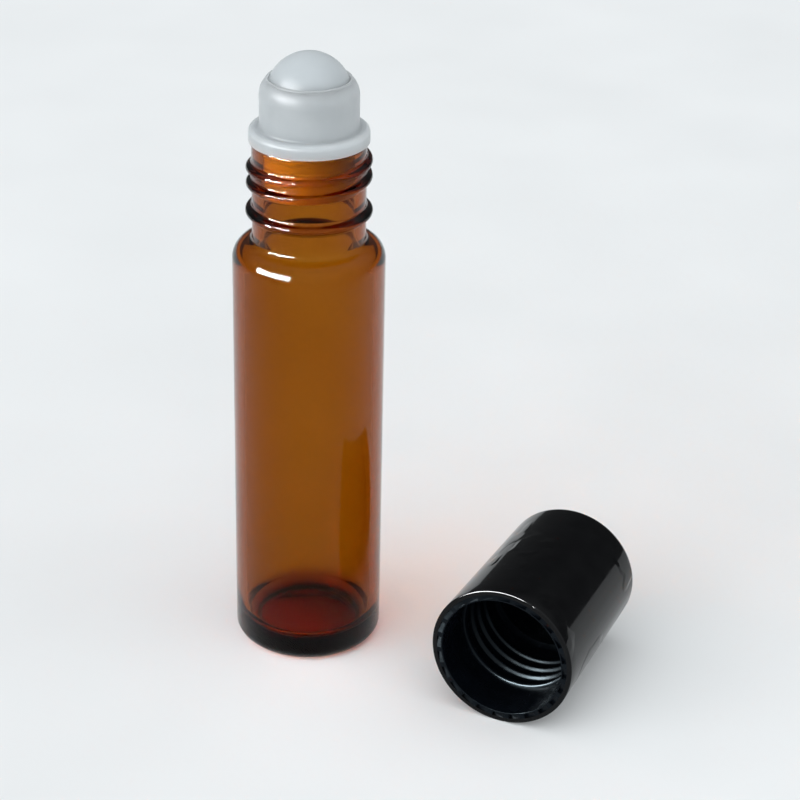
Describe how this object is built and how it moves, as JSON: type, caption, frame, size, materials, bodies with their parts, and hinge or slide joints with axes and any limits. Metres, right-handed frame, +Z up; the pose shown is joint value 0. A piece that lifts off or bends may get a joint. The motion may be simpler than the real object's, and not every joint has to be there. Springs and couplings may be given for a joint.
{
  "type": "roll-on bottle",
  "caption": "Amber glass roll-on bottle with a plastic roller housing and ball in its neck, and a smooth black screw cap lying open beside it.",
  "frame": {"origin": "middle of the bottle's foot, on the table", "axes": "+Z up along the bottle's axis, +X from the bottle towards the cap that lies beside it, +Y along the lying cap from its mouth to its closed end"},
  "size_m": [0.0529, 0.0268, 0.0842],
  "materials": {
    "amber_glass": "clear amber, fire polished",
    "natural_plastic": "natural translucent plastic, satin",
    "ball_plastic": "natural plastic, polished",
    "black_plastic": "moulded black, glossy"
  },
  "bodies": {
    "bottle": {"bottle": "amber_glass"},
    "roller_housing": {"roller_housing": "natural_plastic"},
    "roller_ball": {"roller_ball": "ball_plastic"},
    "cap": {"cap": "black_plastic"}
  },
  "joints": [
    {"name": "housing_lift", "type": "slide", "parent": "bottle", "child": "roller_housing", "axis": [0, 0, 1], "range_m": [0, 0.008]},
    {"name": "ball_roll", "type": "hinge", "parent": "roller_housing", "child": "roller_ball", "pos_m": [0, 0, 0.07865], "axis": [1, 0, 0], "continuous": true},
    {"name": "cap_lift", "type": "hinge", "parent": "bottle", "child": "cap", "pos_m": [0.02826, -0.05387, 0.07127], "axis": [0.9269, 0.2679, 0.2629], "range_deg": [0, 95.42]}
  ]
}
